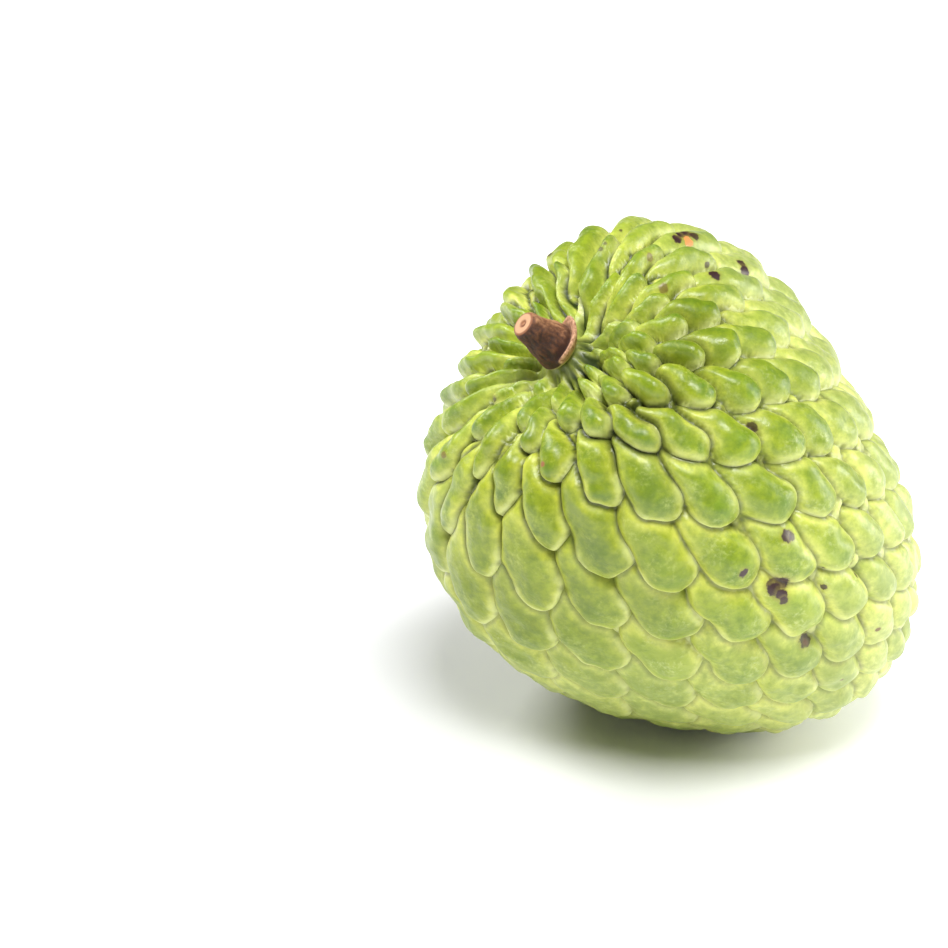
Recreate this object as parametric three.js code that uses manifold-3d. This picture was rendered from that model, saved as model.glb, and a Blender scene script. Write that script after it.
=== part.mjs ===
// Sugar apple, also called custard apple: one whole fruit with its cut stalk, lying on its side.
// Units are millimetres, +Z is up, and the fruit rests on the plane z = 0 by a small flat spot.
//
// The fruit is made about its own axis, with the stalk end up, and then leaned over. A point on its
// body is given by t, the angle down from the stalk end (0 to PI), and by an azimuth about the axis.
// Each carpel of the flower has grown into an overlapping scale. The scales follow one spiral, and
// turn by the golden angle from each to the next. A scale's place along the body is its arc, the
// distance from the stalk end measured over the skin.

import * as THREE from 'three';
import { mergeVertices } from 'three/addons/utils/BufferGeometryUtils.js';
import Module from 'manifold-3d';

const { clamp, degToRad, lerp, smoothstep } = THREE.MathUtils;

// Body of the fruit
const HALF_LENGTH = 54.6;
const RADIUS = 43.75;
const TOP_TAPER = -0.01; // share of the radius gained towards the stalk end
const WAIST = 0.05; // share of the radius gained at mid length
const CAVITY_DEPTH = 12; // the hollow that the stalk stands in
const CAVITY_RADIUS = 19;
const OVAL = 0.052; // two-sided flattening of the cross-section
const OVAL_AT = degToRad(67);
const LOBES = 0.083; // three-sided swelling of the cross-section
const LOBES_AT = degToRad(41);
const BOW = -10.4; // sideways bend of the axis
const BOW_REST = 0.4; // height, squared and as a share of the half length, where the bend is nil

// How the fruit lies: its axis leans from upright towards an azimuth, and then it is settled so that
// the plane z = 0 cuts the flat spot and the origin is below the middle of its box.
const LEAN = degToRad(39);
const LEAN_TO = degToRad(-152);
const SETTLE = new THREE.Vector3(0.8, -3.46, 48.9);

// Spiral of scales
const GOLDEN_ANGLE = degToRad(137.508);
const FIRST_ARC = 5.3;
const LAST_ARC_MARGIN = 3;
const SCALES_PER_MM = [1.4, 2.6]; // along the arc, at the stalk end and at the blossom end
const MORE_BESIDE_STALK = { scalesPerMm: 0.6, arc: 16 };
const SPIRAL_START = degToRad(95.5);
const CROWDING = [
  { waves: 1, amount: 0.11, at: degToRad(119) },
  { waves: 2, amount: 0.11, at: degToRad(22) },
];
const REACH = { growth: 2.2, swing: 5.2, at: degToRad(75) }; // the first scales are longer on one side
const REACH_ARCS = [3, 26];
const REACH_FADE = 40;

// One scale. Lengths are shares of its size, the square root of the skin area that it has.
const HALF_WIDTH = 0.58;
const TIP_LENGTH = 0.6; // from its middle towards the blossom end
const TAIL_LENGTH = 1.3; // from its middle back towards the stalk
const TAIL_NARROWING = 0.35;
const STRETCH = 1.05; // slimness of the scales at the blossom end
const CAVITY_STRETCH = 0.95; // added beside the stalk
const STRETCH_SWING = 0.4; // share by which that differs around the stalk
const STRETCH_SWING_AT = degToRad(85);
const STRETCH_ARC = 38;
const WIDTH_FALL = 0.95; // powers of the slimness that the width, tip and tail follow
const TIP_GROWTH = 0.35;
const TAIL_GROWTH = 1.2;
const CONVERGENCE = 0.6; // how fast tails narrow where the body itself narrows
const OUTLINE_POWER = 2.6; // exponent of the scale's outline: 2 is an ellipse, more is squarer
const RELIEF = 3.6; // height of a scale at mid length
const CAVITY_RELIEF = -1.6; // added beside the stalk, where the scales are narrow
const CAVITY_RELIEF_ARC = 24;
const BLOSSOM_RELIEF = -0.9; // added at the blossom end
const BLOSSOM_RELIEF_ARCS = [70, 125];
const CALM = 0.62; // share of the relief lost where the scales are nearly flush with each other
const CALM_AT = degToRad(190);
const CALM_ARCS = [26, 55];
const CALM_POWER = 3;
const CUSHION = 0.9; // share of the relief in the cushion, from its middle to its outline
const FOOT_OF_CUSHION = 1.6; // the cushion ends this far out, as a share of its outline
const TILT = 0.36; // share of the relief in its rise from tail to tip

// Mesh of the skin
const SKIN_DETAIL = 24;
const MERIDIAN_STEPS = 720;
const FACET_ALLOWANCE = 0.5; // flat facets cut inside a curved skin, so their corners stand proud
const NORMAL_STEP = 2e-3;

// Seat of the stalk
const SEAT_ARCS = [2.5, 5]; // the scales end between these arcs
const SEAT_DEPTH = 1;
const GAP = 0.3;

// Stalk, about its own axis: [radius, height], from its foot to its cut end
const STALK_LEAN = degToRad(12);
const STALK_LEAN_TO = degToRad(162);
const STALK_SIDES = 28;
const STALK_PROFILE = [
  [0, 0], [4.0, 0], [4.3, 0.4], [4.25, 0.9], [4.15, 1.4], [3.95, 2.4], [3.6, 3.9], [3.15, 5.7],
  [2.75, 7.6], [2.5, 9.0], [2.2, 9.5], [1.4, 9.6], [0.75, 9.5], [0.5, 9.2], [0, 9.2],
];
const FOOT_RADIUS = 4.3;
const PITH_RADIUS = 2.2; // the collar and the bark are outside this radius
const COLLAR_AT = degToRad(-45); // the dry collar stands up on one side of the foot
const COLLAR_FACING = [0.05, 0.75]; // cosines of the angle from there between which it grows
const COLLAR_BASE = [0, 0.5]; // heights between which it begins, and ends
const COLLAR_END = [0.9, 1.9];
const COLLAR_WIDTH = 1.6;
const COLLAR_RISE = 1.7;
const SOCKET_HEIGHT = 14;
const BARK_RIDGES = [
  { waves: 3, amount: 0.02, twist: 0.1 },
  { waves: 5, amount: 0.015, twist: -0.25 },
];

const wasm = await Module();
wasm.setup();

// ---- Body ----

function meridianRadius(t) {
  const side = Math.sin(t);
  return RADIUS * side * (1 + TOP_TAPER * Math.cos(t) + WAIST * side * side);
}

function meridianHeight(t, radius) {
  const top = Math.cos(t);
  const hollow = CAVITY_DEPTH * ((1 + top) / 2) * Math.exp(-((radius / CAVITY_RADIUS) ** 2));
  return HALF_LENGTH * top - hollow;
}

function bodyPoint(t, azimuth) {
  const oval = OVAL * Math.cos(2 * (azimuth - OVAL_AT));
  const lobes = LOBES * Math.sin(t) * Math.cos(3 * (azimuth - LOBES_AT));
  const radius = meridianRadius(t) * (1 + oval + lobes);
  const height = meridianHeight(t, radius);
  const bow = BOW * ((height / HALF_LENGTH) ** 2 - BOW_REST);
  return new THREE.Vector3(radius * Math.cos(azimuth), radius * Math.sin(azimuth) + bow, height);
}

function bodyNormal(t, azimuth) {
  const inside = clamp(t, NORMAL_STEP, Math.PI - NORMAL_STEP);
  const down = bodyPoint(inside + NORMAL_STEP, azimuth).sub(bodyPoint(inside - NORMAL_STEP, azimuth));
  const round = bodyPoint(inside, azimuth + NORMAL_STEP).sub(bodyPoint(inside, azimuth - NORMAL_STEP));
  return down.cross(round).normalize();
}

// Arc, radius and change of radius per unit of arc, at even steps of t down the mean outline.
function makeMeridian() {
  const steps = [];
  let arc = 0;
  let before = null;
  for (let i = 0; i <= MERIDIAN_STEPS; i += 1) {
    const t = (Math.PI * i) / MERIDIAN_STEPS;
    const radius = meridianRadius(t);
    const height = meridianHeight(t, radius);
    if (before) {
      arc += Math.hypot(radius - before.radius, height - before.height);
    }
    before = { arc, radius, height };
    steps.push(before);
  }
  steps.forEach((step, i) => {
    const from = steps[Math.max(i - 1, 0)];
    const to = steps[Math.min(i + 1, MERIDIAN_STEPS)];
    step.slope = (to.radius - from.radius) / (to.arc - from.arc);
  });
  return steps;
}

const meridian = makeMeridian();
const bodyArc = meridian[MERIDIAN_STEPS].arc;

function mix(from, to, share) {
  return {
    arc: lerp(from.arc, to.arc, share),
    radius: lerp(from.radius, to.radius, share),
    slope: lerp(from.slope, to.slope, share),
  };
}

function meridianAtAngle(t) {
  const place = (t / Math.PI) * MERIDIAN_STEPS;
  const step = Math.min(Math.floor(place), MERIDIAN_STEPS - 1);
  return mix(meridian[step], meridian[step + 1], place - step);
}

function meridianAtArc(arc) {
  const step = meridian.findIndex((entry, i) => i > 0 && entry.arc >= arc) - 1;
  const from = meridian[step];
  const to = meridian[step + 1];
  return mix(from, to, (arc - from.arc) / (to.arc - from.arc));
}

// ---- Scales ----

function makeScales() {
  const scales = [];
  let turn = SPIRAL_START;
  let arc = FIRST_ARC;
  while (arc < bodyArc - LAST_ARC_MARGIN) {
    const more = MORE_BESIDE_STALK.scalesPerMm * Math.exp(-((arc / MORE_BESIDE_STALK.arc) ** 2));
    const perMm = lerp(SCALES_PER_MM[0], SCALES_PER_MM[1], arc / bodyArc) + more;
    let azimuth = turn;
    let spread = 1;
    for (const { waves, amount, at } of CROWDING) {
      azimuth += amount * Math.sin(waves * (turn - at));
      spread += waves * amount * Math.cos(waves * (turn - at));
    }
    const { radius } = meridianAtArc(arc);
    const area = ((2 * Math.PI * radius) / perMm) * spread;
    scales.push(makeScale(arc, azimuth, radius, Math.sqrt(area)));
    turn -= GOLDEN_ANGLE;
    arc += 1 / perMm;
  }
  return scales;
}

// 1 where the scales are nearly flush with each other, 0 where they stand out.
function calmShare(arc, azimuth) {
  const facing = (1 + Math.cos(azimuth - CALM_AT)) / 2;
  return smoothstep(arc, ...CALM_ARCS) * facing ** CALM_POWER;
}

function makeScale(arc, azimuth, radius, size) {
  const swing = 1 + STRETCH_SWING * Math.cos(azimuth - STRETCH_SWING_AT);
  const stretch = STRETCH + CAVITY_STRETCH * swing * Math.exp(-((arc / STRETCH_ARC) ** 2));
  const beside = CAVITY_RELIEF * Math.exp(-((arc / CAVITY_RELIEF_ARC) ** 2));
  const blossom = BLOSSOM_RELIEF * smoothstep(arc, ...BLOSSOM_RELIEF_ARCS);
  return {
    arc,
    azimuth,
    radius,
    relief: (RELIEF + beside + blossom) * (1 - CALM * calmShare(arc, azimuth)),
    halfWidth: (HALF_WIDTH * size) / stretch ** WIDTH_FALL,
    tip: TIP_LENGTH * size * stretch ** TIP_GROWTH,
    tail: TAIL_LENGTH * size * stretch ** TAIL_GROWTH,
  };
}

// Height of one scale above the body, nil at its highest place and below nil elsewhere.
function scaleHeight(scale, place, azimuth) {
  const turn = azimuth - scale.azimuth;
  const facing = Math.cos(turn);
  if (facing <= 0) {
    return -Infinity;
  }
  const across = place.radius * Math.sin(turn);
  const along = place.arc - scale.arc - place.radius * place.slope * (1 - facing);
  const v = along > 0 ? along / scale.tip : along / scale.tail;
  const converging = Math.min(1, place.radius / scale.radius) ** CONVERGENCE;
  const narrowing = (1 - TAIL_NARROWING * smoothstep(-v, 0, 1)) * converging;
  const u = across / (scale.halfWidth * Math.max(narrowing, 1e-6));
  const out = (Math.abs(u) ** OUTLINE_POWER + Math.abs(v) ** OUTLINE_POWER) ** (1 / OUTLINE_POWER);
  const rise = clamp(v, -1, 1) - 1;
  return scale.relief * (TILT * rise - CUSHION * Math.min(out, FOOT_OF_CUSHION) ** 2);
}

// How much longer the scales are at a place, counted from the stalk.
function reachAt(arc, azimuth) {
  const longest = REACH.growth + REACH.swing * Math.cos(azimuth - REACH.at);
  const fade = Math.exp(-Math.max(arc - REACH_ARCS[1], 0) / REACH_FADE);
  return longest * smoothstep(arc, ...REACH_ARCS) * fade;
}

function skinHeight(scales, t, azimuth) {
  const place = meridianAtAngle(t);
  place.arc -= reachAt(place.arc, azimuth);
  const heights = scales.map((scale) => scaleHeight(scale, place, azimuth));
  const scaly = smoothstep(place.arc, ...SEAT_ARCS);
  return lerp(-SEAT_DEPTH, Math.max(...heights), scaly) + FACET_ALLOWANCE;
}

// ---- Placing ----

function fruitMatrix() {
  const axis = new THREE.Vector3(
    Math.sin(LEAN) * Math.cos(LEAN_TO),
    Math.sin(LEAN) * Math.sin(LEAN_TO),
    Math.cos(LEAN),
  );
  const uphill = new THREE.Vector3(0, 0, 1).addScaledVector(axis, -axis.z).normalize();
  const across = new THREE.Vector3().crossVectors(axis, uphill);
  return new THREE.Matrix4().makeBasis(uphill, across, axis).setPosition(SETTLE);
}

// From the stalk's own axes to the fruit's: its foot is on the seat, at the bottom of the cavity.
function stalkMatrix() {
  const lean = new THREE.Vector3(-Math.sin(STALK_LEAN_TO), Math.cos(STALK_LEAN_TO), 0);
  const turn = new THREE.Matrix4().makeRotationAxis(lean, STALK_LEAN);
  const foot = bodyPoint(0, 0).add(new THREE.Vector3(0, 0, -SEAT_DEPTH));
  return turn.setPosition(foot);
}

// ---- Solids ----

function toManifold(geometry) {
  const bare = geometry.clone();
  bare.deleteAttribute('normal');
  bare.deleteAttribute('uv');
  const merged = mergeVertices(bare, 1e-4);
  return new wasm.Manifold(new wasm.Mesh({
    numProp: 3,
    vertProperties: new Float32Array(merged.attributes.position.array),
    triVerts: new Uint32Array(merged.index.array),
  }));
}

function toGeometry(solid) {
  const mesh = solid.getMesh();
  const geometry = new THREE.BufferGeometry();
  geometry.setAttribute('position', new THREE.BufferAttribute(mesh.vertProperties, mesh.numProp));
  geometry.setIndex(new THREE.BufferAttribute(mesh.triVerts, 1));
  geometry.computeVertexNormals();
  return geometry;
}

// A solid of revolution about +Z from [radius, height] points that start and end on the axis.
function turned(profile, sides) {
  const points = profile.map(([radius, height]) => new THREE.Vector2(radius, height));
  return new THREE.LatheGeometry(points, sides).rotateX(Math.PI / 2);
}

function skinGeometry() {
  const scales = makeScales();
  const geometry = new THREE.IcosahedronGeometry(1, SKIN_DETAIL);
  const position = geometry.attributes.position;
  const direction = new THREE.Vector3();
  for (let i = 0; i < position.count; i += 1) {
    direction.fromBufferAttribute(position, i).normalize();
    const t = Math.acos(clamp(direction.z, -1, 1));
    const azimuth = Math.atan2(direction.y, direction.x);
    const point = bodyPoint(t, azimuth);
    point.addScaledVector(bodyNormal(t, azimuth), skinHeight(scales, t, azimuth));
    position.setXYZ(i, point.x, point.y, point.z);
  }
  return geometry;
}

// How far a point of the stalk belongs to its collar, from 0 to 1.
function collarShare(radius, height, azimuth) {
  if (radius < PITH_RADIUS) {
    return 0;
  }
  const facing = smoothstep(Math.cos(azimuth - COLLAR_AT), ...COLLAR_FACING);
  return facing * smoothstep(height, ...COLLAR_BASE) * (1 - smoothstep(height, ...COLLAR_END));
}

function stalkGeometry() {
  const geometry = turned(STALK_PROFILE, STALK_SIDES);
  const position = geometry.attributes.position;
  const point = new THREE.Vector3();
  for (let i = 0; i < position.count; i += 1) {
    point.fromBufferAttribute(position, i);
    const azimuth = Math.atan2(point.y, point.x);
    const radius = Math.hypot(point.x, point.y);
    const collar = collarShare(radius, point.z, azimuth);
    let swell = 1;
    for (const { waves, amount, twist } of BARK_RIDGES) {
      swell -= amount * (0.5 + 0.5 * Math.cos(waves * azimuth + twist * point.z));
    }
    const outward = radius * swell + COLLAR_WIDTH * collar;
    const height = point.z + COLLAR_RISE * collar;
    position.setXYZ(i, outward * Math.cos(azimuth), outward * Math.sin(azimuth), height);
  }
  geometry.deleteAttribute('normal');
  geometry.deleteAttribute('uv');
  const merged = mergeVertices(geometry, 1e-4);
  merged.computeVertexNormals();
  return merged;
}

// The skin, with a socket where the stalk stands and cut flat where the fruit rests.
function fruitGeometry() {
  const socketRadius = FOOT_RADIUS + COLLAR_WIDTH / 2 + 2 * GAP;
  const socket = turned([
    [0, -GAP], [socketRadius, -GAP], [socketRadius, SOCKET_HEIGHT], [0, SOCKET_HEIGHT],
  ], STALK_SIDES);
  const aside = COLLAR_WIDTH / 2;
  socket.translate(aside * Math.cos(COLLAR_AT), aside * Math.sin(COLLAR_AT), 0);
  socket.applyMatrix4(stalkMatrix()).applyMatrix4(fruitMatrix());
  const below = new THREE.BoxGeometry(4 * RADIUS, 4 * RADIUS, RADIUS);
  below.translate(0, 0, -RADIUS / 2);
  const skin = skinGeometry().applyMatrix4(fruitMatrix());
  return toGeometry(toManifold(skin).subtract(toManifold(socket)).subtract(toManifold(below)));
}

// ---- Pieces ----

function fruit() {
  const material = new THREE.MeshStandardMaterial({ color: 0xa9bf4b, roughness: 0.5, metalness: 0 });
  const mesh = new THREE.Mesh(fruitGeometry(), material);
  mesh.name = 'fruit';
  return mesh;
}

function stalk() {
  const material = new THREE.MeshStandardMaterial({ color: 0x7a4a2a, roughness: 0.8, metalness: 0 });
  const mesh = new THREE.Mesh(stalkGeometry(), material);
  mesh.name = 'stalk';
  mesh.applyMatrix4(fruitMatrix().multiply(stalkMatrix()));
  return mesh;
}

const sugarApple = new THREE.Group();
sugarApple.add(fruit(), stalk());

export default sugarApple;
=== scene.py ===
"""A custard apple (sugar apple) on a pale floor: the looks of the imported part.

The fruit's body, its spiral of scales, the stalk and the way the fruit lies are the same as in the
part's source. Here the scales are drawn finely, with a sharp crease between each two, and the skin
and the bark get procedural materials.

A point on the body is given by t, the angle down from the stalk end (0 to pi), and by an azimuth
about the fruit's own axis. Its arc is its distance from the stalk end, measured over the skin.
Lengths in the constants are in millimetres, unless they say otherwise.
"""

import math
from itertools import combinations
from types import SimpleNamespace

import bpy
import numpy as np
from mathutils import Matrix, Vector
from mathutils.kdtree import KDTree


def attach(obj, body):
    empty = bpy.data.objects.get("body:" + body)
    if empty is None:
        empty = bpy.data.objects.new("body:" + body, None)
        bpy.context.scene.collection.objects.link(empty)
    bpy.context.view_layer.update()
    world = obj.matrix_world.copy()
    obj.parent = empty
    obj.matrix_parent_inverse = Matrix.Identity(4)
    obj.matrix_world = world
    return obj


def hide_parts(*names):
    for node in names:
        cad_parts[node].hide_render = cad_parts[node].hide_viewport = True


def colour(red, green, blue):
    """A linear colour from one as a screen shows it."""
    parts = [c / 255 for c in (red, green, blue)]
    linear = [p / 12.92 if p <= 0.04045 else ((p + 0.055) / 1.055) ** 2.4 for p in parts]
    return (*linear, 1)


MM = 0.001  # metres
SEED = 11
ARC_SEED = SEED + 2
TURN_SEED = SEED + 3
RIPPLE_SEED = SEED + 4
BARK_SEED = SEED + 9
TINY = 1e-6
NEGLIGIBLE = 20  # exp(-20) is next to nothing

# Body of the fruit, about its own axis with the stalk end up
HALF_LENGTH = 54.6
RADIUS = 43.75
TOP_TAPER = -0.01  # share of the radius gained towards the stalk end
WAIST = 0.05  # share of the radius gained at mid length
CAVITY_DEPTH = 12.0  # the hollow that the stalk stands in
CAVITY_RADIUS = 19.0
OVAL = 0.052  # two-sided flattening of the cross-section
OVAL_AT = math.radians(67)
LOBES = 0.083  # three-sided swelling of the cross-section
LOBES_AT = math.radians(41)
BOW = -10.4  # sideways bend of the axis
BOW_REST = 0.4  # square of the height, as a share of the half length, where the bend is nil
MERIDIAN_STEPS = 720
NORMAL_STEP = 2e-3

# How the fruit lies: the lean of its axis from upright, and the place of its middle
LEAN = math.radians(39)
LEAN_TO = math.radians(-152)
SETTLE = (0.8, -3.46, 48.9)

# Spiral of scales
GOLDEN_ANGLE = math.radians(137.508)
FIRST_ARC = 5.3
LAST_ARC_MARGIN = 3.0
SCALES_PER_MM = (1.4, 2.6)  # of arc, at the stalk end and at the blossom end
MORE_BESIDE_STALK = (0.6, 16.0)  # that many more, over this arc
SPIRAL_START = math.radians(95.5)
CROWDING = ((1, 0.11, math.radians(119)), (2, 0.11, math.radians(22)))  # waves, amount, where
SHIFT_ALONG = 0.7  # how far a scale strays from its place in the spiral
SHIFT_ACROSS = 0.5
STRAY_ARCS = (8.0, 30.0)  # arcs between which that begins
REACH = (2.2, 5.2, math.radians(75))  # the first scales are longer, and longest on one side
REACH_ARCS = (3.0, 26.0)
REACH_FADE = 40.0
WAVER = 0.3  # waviness of the scales' outlines
WAVER_LENGTH = 8.0
WAVER_RADIUS = 8.0  # nearer the axis than this, they waver less

# One scale. Lengths are shares of its size, the square root of its skin area.
HALF_WIDTH = 0.58
TIP_LENGTH = 0.6  # from its middle towards the blossom end
TAIL_LENGTH = 1.3  # from its middle back towards the stalk
TAIL_NARROWING = 0.35
STRETCH = 1.05  # slimness of the scales at the blossom end
CAVITY_STRETCH = 0.95  # added beside the stalk
STRETCH_SWING = 0.4  # share by which that differs around the stalk
STRETCH_SWING_AT = math.radians(85)
STRETCH_ARC = 38.0
WIDTH_FALL = 0.95  # powers of the slimness that the width, tip and tail follow
TIP_GROWTH = 0.35
TAIL_GROWTH = 1.2
CONVERGENCE = 0.6  # how fast tails narrow where the body itself narrows
WIDTH_RANGE = (0.95, 1.06)  # factors by which single scales differ
TIP_RANGE = (0.94, 1.06)
TWIST = math.radians(7)
OUTLINE_POWER = 2.6  # exponent of the outline: 2 is an ellipse, more is squarer
CUSHION_SHAPE = (2.2, 0.7)  # powers: a low first one is pointed, a low second one steep-sided
PIT_SLOPE = 0.25  # fall of the ground between scales
PIT_REACH = 3.0  # how far out the ground falls
RELIEF = 3.6  # height of the scales at the fruit's mid length
CAVITY_RELIEF = 2.2  # added beside the stalk
CAVITY_RELIEF_ARC = 22.0
BLOSSOM_RELIEF = -0.9  # added at the blossom end
BLOSSOM_RELIEF_ARCS = (70.0, 125.0)
CALM = 0.62  # share of the relief lost where the scales are nearly flush
CALM_AT = math.radians(190)
CALM_ARCS = (26.0, 55.0)
CALM_POWER = 3
CUSHION = 1.5  # height of its middle above its outline, in reliefs
TILT = 0.36  # rise from its middle to its tip, in reliefs
LIFT_RANGE = (-0.25, 0.0)  # height added to a scale
DENT = 0.45  # greatest depth of the dent that some scales have
DENT_DRAW = (-0.6, 1)  # a scale that draws less than 0 has none
DENT_ACROSS = (-0.35, 0.35)
DENT_ALONG = (0.5, 0.8)
DENT_SIZE = 0.16
OFF_SCALE = 1e3  # place across a scale on the other side of the fruit

# Seat of the stalk
SEAT_ARCS = (2.5, 5.0)  # the scales end between these arcs
SEAT_DEPTH = 1.0

# Mesh of the skin
FREQUENCY = 99
MAP_GRID = (4, 3)  # columns and rows of cells on the flat map, with two patches in each
MAP_MARGIN = 0.02
MAP_PATCH = 0.93
NEIGHBOURS_BEHIND = 34.0  # arc range in which scales can reach a point
NEIGHBOURS_AHEAD = 18.0
BLOCK = 2000  # points for which the top scale is found at once
THIN = 3  # a point with fewer neighbours on its own scale is on a sliver
SNAP_ROUNDS = 7
HALFWAY = 0.5 + 1e-9  # both ends of an edge count as near a line that crosses it here
PLACE_LIMITS = (-1.5, 1.5)  # of the places on a scale that the material gets
NOTCH = (0.6, 1.8)  # extra depth between two scales, far from the stalk and near it
NOTCH_WIDTH = 0.55
NOTCH_ARCS = (2.5, 6.0)  # arcs between which these lines begin
NOTCH_FADE = 34.0
PIT = 0.9  # extra depth where three scales meet
PIT_WIDTH = 0.9
LIP = 0.4  # how far the end of a scale hangs over the next one
LIP_WIDTH = 0.8
LIP_FROM = (0.0, 0.7)  # places along a scale between which its edge begins to hang over
RIPPLES = ((9.0, 0.22), (3.6, 0.1), (1.8, 0.025))  # wavelength and height of the skin's waviness

# Sides of the fruit where the gaps between the scales differ
GAP_AT = math.radians(290)  # widest and deepest
GAP_FACING = (0.3, 1.0)  # cosines of the angle from there
GAP_ARC = 30.0
GAP_SPREAD = 10.0
GAP_DEPTH = 0.6  # share by which they are deeper there
SOFT_AT = math.radians(150)  # shallowest, close to the stalk
SOFT_ARC = 26.0
SOFT_SHARE = 0.5

# Stalk
STALK_LEAN = math.radians(12)
STALK_LEAN_TO = math.radians(162)
STALK_PROFILE = (  # radius and height along its own axis, from the foot to the cut end
    (0, 0), (4.0, 0), (4.3, 0.4), (4.15, 1.3), (3.95, 2.4), (3.6, 3.9), (3.15, 5.7),
    (2.75, 7.6), (2.5, 9.0), (2.2, 9.5), (1.4, 9.6), (0.75, 9.5), (0.5, 9.2), (0, 9.2),
)
STALK_SIDES = 132
STALK_STEP = 0.12
STALK_ROUNDING = 2  # rounds of smoothing of the profile's corners
PITH_RADIUS = 2.2  # the collar and the bark are outside this radius
COLLAR_AT = math.radians(-45)  # the dry collar stands up on one side of the foot
COLLAR_FACING = (0.05, 0.75)  # cosines of the angle from there
COLLAR_BASE = (0.0, 0.5)  # heights between which it begins, and ends
COLLAR_END = (0.9, 1.9)
COLLAR_WIDTH = 1.5
COLLAR_RISE = 1.6
RAGGED = (0.1, 0.08, 0.12)  # unevenness of the collar's extent, width and rise
GROOVE_BASE = (1.3, 2.0)  # heights where the groove above the collar begins, and ends
GROOVE_END = (2.4, 3.6)
BARK_BASE = (1.5, 3.0)  # heights where the bark's ridges begin, and end
BARK_END = (8.8, 9.1)
BARK_RIDGE = 0.07
BARK_WAVES = (0.5, 0.22, 1.1)  # lengths of the ridges, of finer ones and of the collar's waves
BARK_WAVE_HEIGHT = 7.0  # they are drawn on a tube of radius 1, on which this height counts as 1
FINE_RIDGE = 0.5
UNDERSIDE_AT = math.radians(235)

# Noise: number of finer layers, and their strength
SOFT_NOISE = (2.0, 0.5)
EVEN_NOISE = (3.0, 0.5)
NOISE = (3.0, 0.6)
SHARP_NOISE = (4.0, 0.65)
CONTRAST = (0.3, 0.7)  # range of noise that is spread out from 0 to 1
MORE_CONTRAST = (0.35, 0.65)

# Skin: the green middle of a scale, in places across and along it, and its pale rest
GREEN_LIGHT = colour(162, 176, 48)
GREEN_MIDDLE = colour(134, 155, 20)
GREEN_DEEP = colour(98, 130, 2)
PALE_GREEN = colour(194, 204, 90)
PALE_YELLOW = colour(206, 212, 102)
PALE_SIZE = 9.0
GREEN_RIM = 2.8  # width of the band in which the green begins
GREEN_WOBBLE = (2.5, 1.2)  # size and amount of that band's unevenness
GREEN_ALONG = (-1.1, -0.3)
GREEN_ON_TAIL = 0.2
BLOTCH_SIZE = 6.0
BLOTCH_SHARE = 0.5  # the rest of the difference in green is from scale to scale
PATCH_ACROSS = (0.9, 0.0)  # the deepest green, on the top of a scale
PATCH_FROM = (-0.7, 0.2)
PATCH_TO = (1.0, 0.5)
PATCH_SIZE = 3.0
PATCH_RANGE = (0.45, 1.0)
PATCH_CALM = 0.6  # share of it lost where the scales are nearly flush
MOTTLE_DARK = (0.74, 0.8, 0.68, 1)
MOTTLE_LIGHT = (1.25, 1.2, 1.2, 1)
MOTTLE_SIZE = 1.7
MOTTLE_NOISE = (0.25, 0.75)
MOTTLE_TONE = 0.3  # difference from scale to scale
# pale waxy bloom, partly painted sheen
BLOOM_SHEEN_COLOUR = colour(206, 215, 148)
BLOOM_SHEEN_SPECK = 0.8
BLOOM_SHEEN_SPECKS = (0.45, 0.7)
BLOOM_SHEEN_AREA = 5.0
BLOOM_SHEEN_AREAS = (0.42, 0.64)
BLOOM_SHEEN_RANGE = (0.02, 0.4)

# Skin: differences over the whole fruit
FAR_AND_LIT_TOP_COLOUR = colour(215, 222, 148)  # far from the stalk, and painted light on the upper side
FAR_AND_LIT_TOP_SHARE = 0.52
FAR_ARCS = (50.0, 105.0)
LIT_TOP_SWING = 36.0  # how much nearer that begins on one side: painted light, paler on the upper side
LIT_TOP_AT = math.radians(20)
BELOW_SHARE = 0.6  # as much of it on the lower part of the calm side
BELOW_ARCS = (65.0, 90.0)
PAINTED_SHADE_TINT = (0.72, 0.73, 0.3, 1)  # painted shade, darker and greener, on one side of the fruit
PAINTED_SHADE_AT = math.radians(215)
PAINTED_SHADE_FACING = (0.5, 1.0)
PAINTED_SHADE_FROM = (13.0, 26.0)  # arcs between which it begins, and ends
PAINTED_SHADE_TO = (52.0, 88.0)
PAINTED_SHADE_GAP = 0.9  # as much painted shade around the widest gaps
NEAR_COLOUR = colour(118, 146, 26)  # of the narrow ends beside the stalk
NEAR_SHARE = 0.1
NEAR_ARC = 12.0

# Skin: rims of the scales, and painted shade in the lines between them
RIM_COLOUR = colour(212, 219, 138)
RIM_WIDTH = (1.9, 0.4)
RIM_WOBBLE = (1.6, 0.7)
RIM_ALONG = (-0.1, 0.4)
RIM_RANGE = (0.1, 0.88)
# painted shade in the lines and pits between the scales
CREASE_SHADE_COLOUR = colour(36, 54, 4)
CREASE_WIDTH = 1.05
CREASE_WIDER = (0.4, 0.45)  # beside the stalk, and around the widest gaps
CREASE_ALONG = (0.2, -0.1)
CREASE_RANGE = (0.32, 1.0)
CREASE_SHADE = (0.5, 0.5)  # strength of the lines far from the stalk, and added near it
CREASE_ARC = 55.0
CREASE_FROM = (1.0, 4.0)
CREASE_CALM = 0.35  # share lost where the scales are nearly flush
CREASE_CALM_LATER = 5.0  # and how much further from the stalk that begins
PIT_SHADE = (1.5, 0.3)

# Skin: gloss and grain
ROUGHNESS = (0.36, 0.52)
ROUGHNESS_SIZE = 3.0
COAT = 0.22
COAT_ROUGHNESS = 0.3
SUBSURFACE = 0.08
SUBSURFACE_RADIUS = (0.0015, 0.002, 0.0006)  # metres, for red, green and blue
GRAIN_SIZES = (2.4, 0.5)
COARSE_GRAIN = 2.0  # strength of the coarse grain next to the fine one
SKIN_BUMP = 0.5
BUMP_DEPTH = 0.15

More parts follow.
